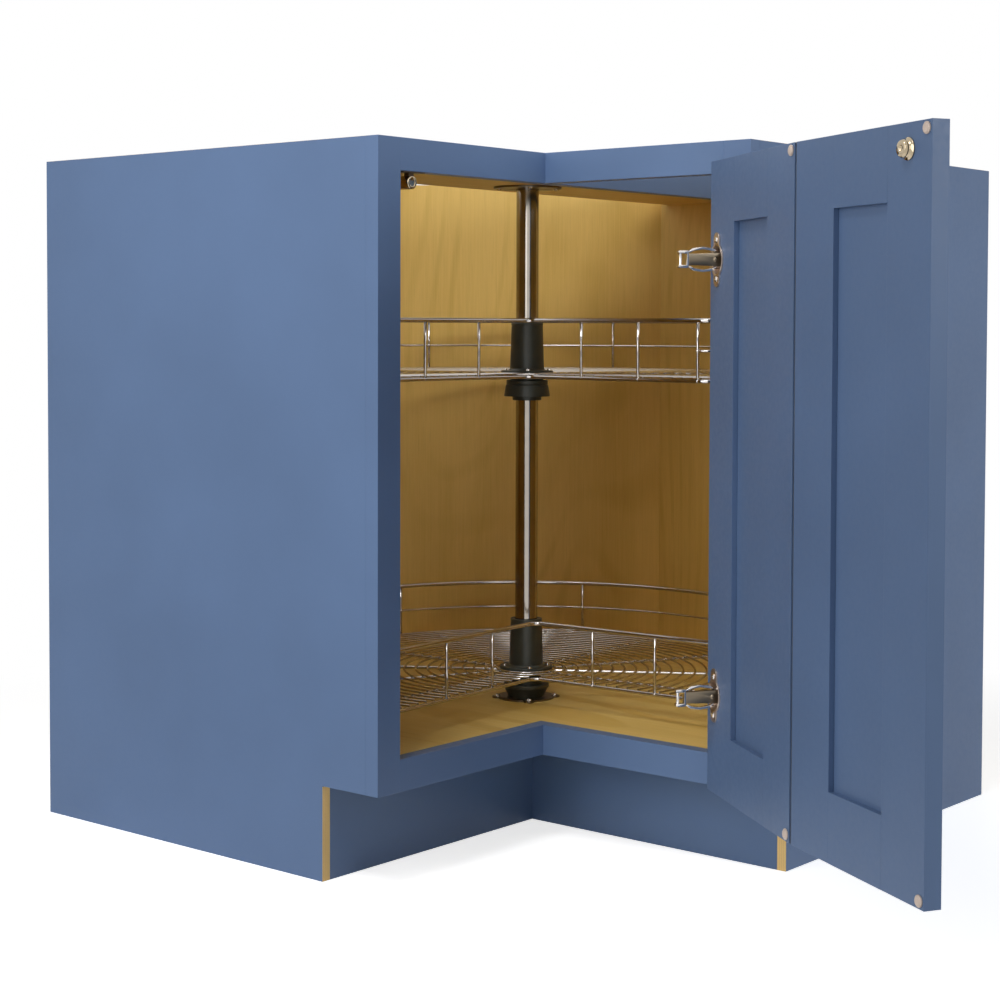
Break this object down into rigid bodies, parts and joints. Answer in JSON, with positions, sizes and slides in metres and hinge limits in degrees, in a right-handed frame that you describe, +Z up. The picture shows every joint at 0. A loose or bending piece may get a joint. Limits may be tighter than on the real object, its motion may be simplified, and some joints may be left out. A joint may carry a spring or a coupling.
{
  "type": "corner carousel cabinet",
  "caption": "L-shaped corner base cabinet with a folding two-leaf door standing open and two pie-cut wire shelves turning on one post.",
  "frame": {"origin": "the point where the two room walls behind the cabinet meet the floor", "axes": "+Z up, +X along the right wall, -Y along the left wall; the door opening faces +X and -Y, and the open door reaches out towards +X"},
  "size_m": [1.3107, 0.9144, 0.8763],
  "materials": {
    "painted_wood": "satin",
    "birch_ply": "satin",
    "chrome_steel": "polished",
    "nickel_steel": "brushed",
    "dark_plastic": "matte",
    "bumper_rubber": "matte"
  },
  "bodies": {
    "cabinet": {"left_end_panel": "painted_wood", "right_end_panel": "painted_wood", "floor_panel": "birch_ply", "left_back_panel": "birch_ply", "right_back_panel": "birch_ply", "diagonal_back_panel": "birch_ply", "left_stile": "painted_wood", "right_stile": "painted_wood", "left_top_rail": "painted_wood", "right_top_rail": "painted_wood", "left_bottom_rail": "painted_wood", "right_bottom_rail": "painted_wood", "left_toe_board": "painted_wood", "right_toe_board": "painted_wood", "floor_cleats": "birch_ply", "bearing_board": "birch_ply", "base_plate": "nickel_steel", "base_screws": "chrome_steel", "lower_bearing": "dark_plastic", "post": "chrome_steel", "support_collar": "dark_plastic", "collar_screw": "chrome_steel", "top_plate": "nickel_steel", "top_screws": "chrome_steel", "hinge_frame_plates": "nickel_steel", "frame_plate_screws": "chrome_steel", "catch_bracket": "nickel_steel", "catch_magnet": "chrome_steel"},
    "inner_leaf": {"inner_hinge_stile": "painted_wood", "inner_joint_stile": "painted_wood", "inner_top_rail": "painted_wood", "inner_bottom_rail": "painted_wood", "inner_panel": "painted_wood", "hinge_cups": "nickel_steel", "hinge_arms": "nickel_steel", "hinge_clips": "chrome_steel", "hinge_links": "chrome_steel", "hinge_pins": "chrome_steel", "cup_screws": "chrome_steel", "inner_fold_hinge": "nickel_steel", "inner_bumpers": "bumper_rubber"},
    "outer_leaf": {"outer_joint_stile": "painted_wood", "outer_free_stile": "painted_wood", "outer_top_rail": "painted_wood", "outer_bottom_rail": "painted_wood", "outer_panel": "painted_wood", "outer_fold_hinge": "nickel_steel", "fold_hinge_pin": "chrome_steel", "outer_bumpers": "bumper_rubber", "strike": "chrome_steel"},
    "lower_carousel": {"lower_wall_wires": "chrome_steel", "lower_floor_a": "chrome_steel", "lower_floor_b": "chrome_steel", "lower_floor_c": "chrome_steel", "lower_hub": "dark_plastic"},
    "upper_carousel": {"upper_wall_wires": "chrome_steel", "upper_floor_a": "chrome_steel", "upper_floor_b": "chrome_steel", "upper_floor_c": "chrome_steel", "upper_hub": "dark_plastic"}
  },
  "joints": [
    {"name": "inner_leaf_swing", "type": "hinge", "parent": "cabinet", "child": "inner_leaf", "pos_m": [0.883, -0.623, 0.4826], "axis": [0, 0, 1], "range_deg": [-143.7, 10]},
    {"name": "outer_leaf_fold", "type": "hinge", "parent": "inner_leaf", "child": "outer_leaf", "pos_m": [1.09016, -0.76134, 0.4826], "axis": [0, 0, 1], "range_deg": [-5.8, 83.21]},
    {"name": "lower_carousel_turn", "type": "hinge", "parent": "cabinet", "child": "lower_carousel", "pos_m": [0.4572, -0.4572, 0.185], "axis": [0, 0, 1], "range_deg": [-363.4, 356.6]},
    {"name": "upper_carousel_turn", "type": "hinge", "parent": "cabinet", "child": "upper_carousel", "pos_m": [0.4572, -0.4572, 0.591], "axis": [0, 0, 1], "range_deg": [-355.8, 364.2]}
  ],
  "couplings": [
    {"joint": "outer_leaf_fold", "follows": "inner_leaf_swing", "ratio": -0.57898}
  ]
}
